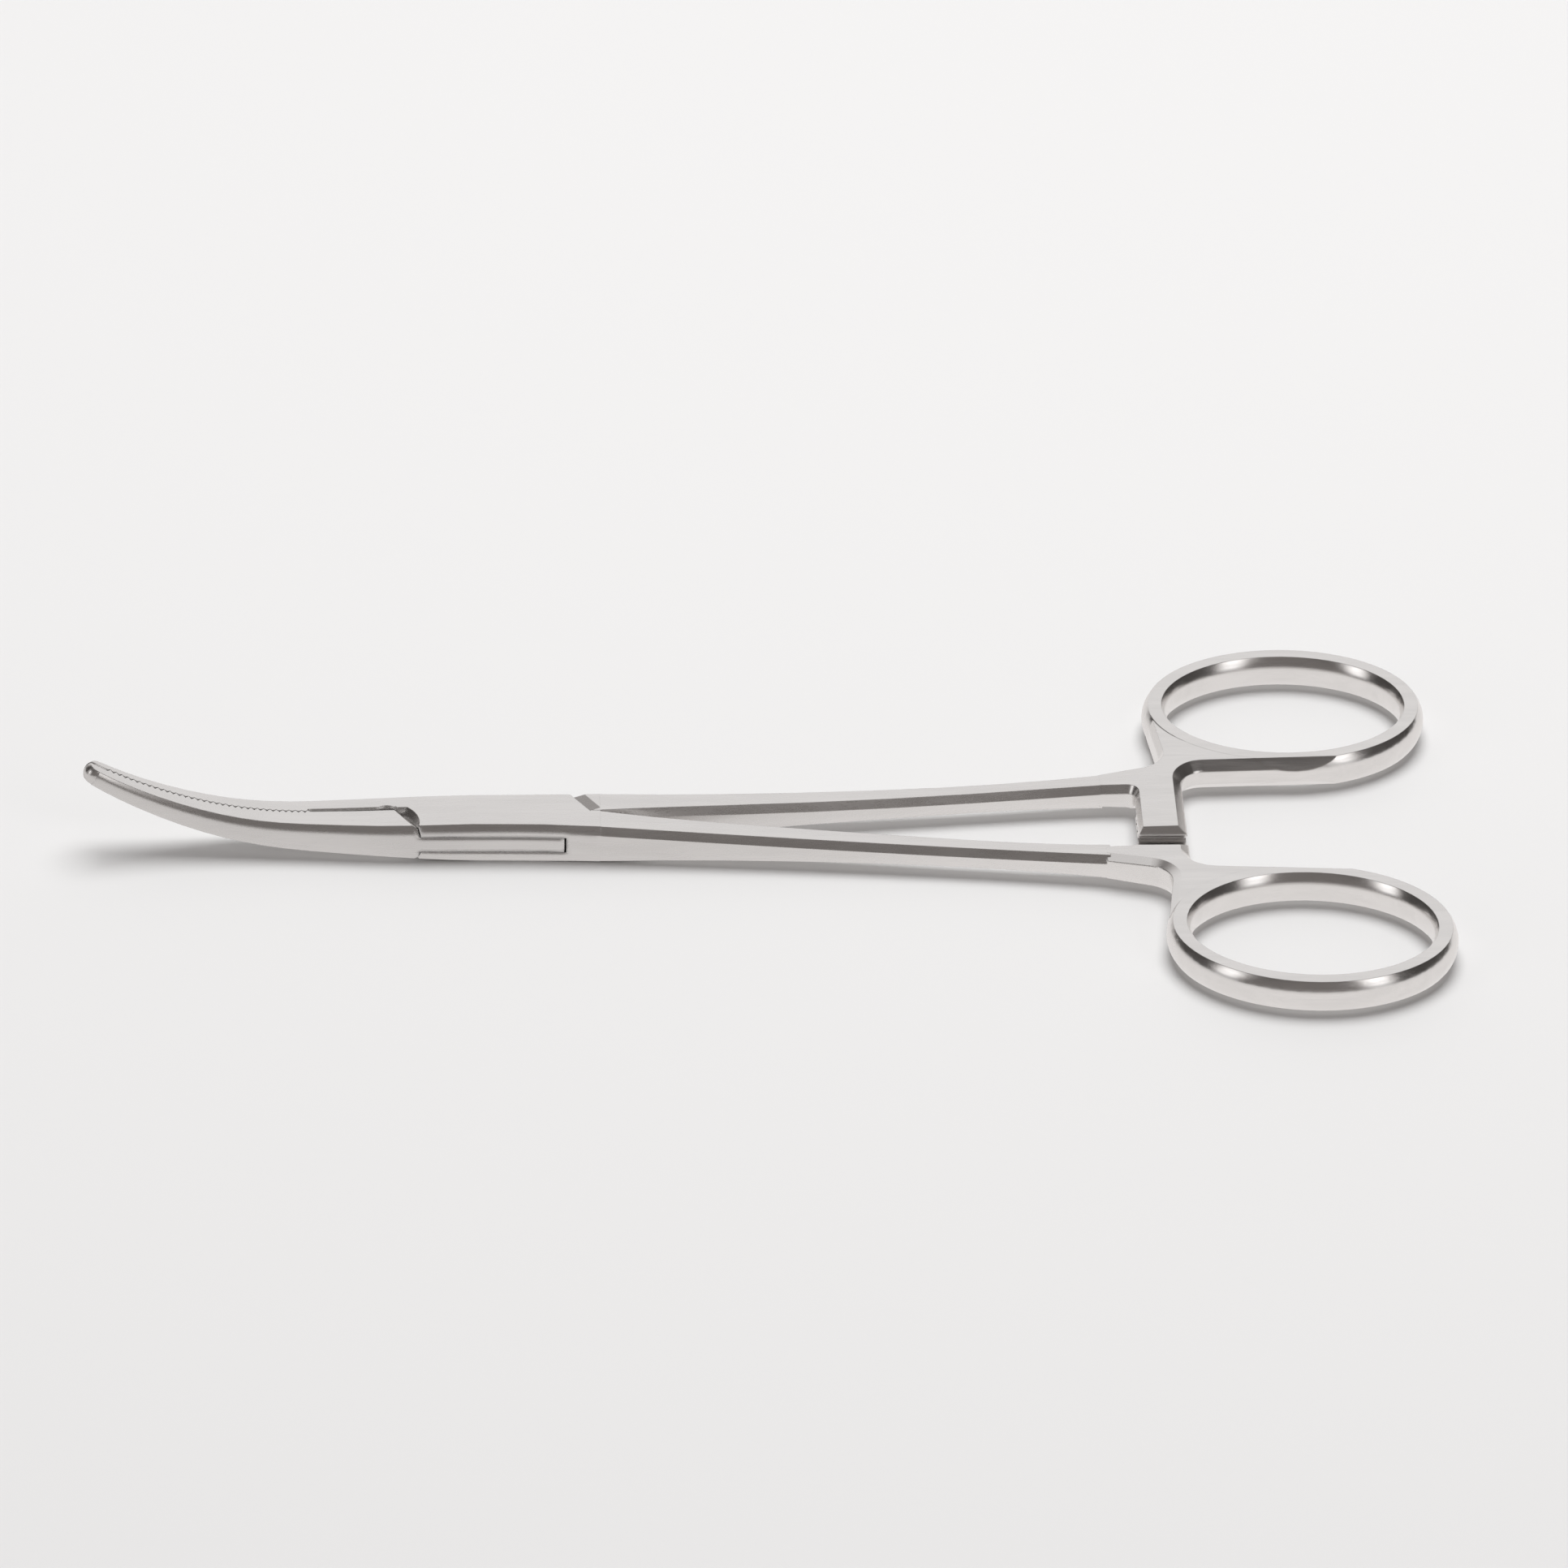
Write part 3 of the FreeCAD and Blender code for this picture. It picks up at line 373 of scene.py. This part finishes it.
def satin_steel(name, tint, rough, grain_depth):
    """Metal with grinding marks along X: noise that changes slowly along the length and fast
    across it. A second, broader noise makes the soft streaks."""
    paint = bpy.data.materials.new(name)
    paint.use_nodes = True
    tree = paint.node_tree
    shader = tree.nodes["Principled BSDF"]
    place = add_node(tree, "ShaderNodeTexCoord").outputs["Object"]
    along = split_vector(tree, place)
    marks = stretched_noise(tree, place, GRINDING_MARKS)
    streaks = stretched_noise(tree, place, SOFT_STREAKS)
    worn = calculate(tree, "ADD", calculate(tree, "MULTIPLY", marks, MARKS_SHARE),
                     calculate(tree, "MULTIPLY", streaks, 1 - MARKS_SHARE))
    satin = smooth_step(tree, worn, *WORN_RANGE, rough - SMOOTHER_BY, rough + ROUGHER_BY)
    polish = smooth_step(tree, along["X"], *RINGS_FROM, 0.0, -RINGS_SMOOTHER_BY)
    feed(tree, shader.inputs["Roughness"], calculate(tree, "ADD", satin, polish))
    dull = tuple(DULL_SHARE * part for part in tint)
    bare = blend_colours(tree, smooth_step(tree, worn, *WORN_RANGE), (*dull, 1.0), (*tint, 1.0))
    # Painted shade: the base colour goes towards near-black where the Ambient Occlusion node finds a
    # closed-in place.
    openness = add_node(tree, "ShaderNodeAmbientOcclusion", samples=6)
    openness.inputs["Distance"].default_value = CREVICE_SHADE_REACH
    out_of_painted_shade = smooth_step(tree, openness.outputs["AO"], *CREVICE_SHADE_OPENNESS)
    feed(tree, shader.inputs["Base Color"], blend_colours(tree, out_of_painted_shade, CREVICE_SHADE_AND_RESIDUE_COLOUR, bare))
    shader.inputs["Metallic"].default_value = 1.0
    bump = add_node(tree, "ShaderNodeBump")
    bump.inputs["Strength"].default_value = BUMP_STRENGTH
    bump.inputs["Distance"].default_value = grain_depth
    tree.links.new(marks, bump.inputs["Height"])
    tree.links.new(rounded_edges(tree, along["X"], along["Y"]), bump.inputs["Normal"])
    tree.links.new(bump.outputs[0], shader.inputs["Normal"])
    return paint


print("crevices are told within", 1000 * CREVICE_SHADE_REACH, "mm")

# %% [markdown]
# ## Steel on the three pieces
# Both halves are of one steel. The pin is the same steel, a little smoother from being ground flush.

# %% Steel on the three pieces
STEEL = (0.80, 0.785, 0.775)

half_steel = satin_steel("satin_steel", STEEL, rough=0.27, grain_depth=0.0000025)
pin_steel = satin_steel("pin_steel", STEEL, rough=0.25, grain_depth=0.0000020)
for name, paint in (("female_half", half_steel), ("male_half", half_steel), ("lock_pin", pin_steel)):
    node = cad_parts[name]
    node.data.materials.clear()
    node.data.materials.append(paint)
    print(name, len(node.data.polygons), "triangles")
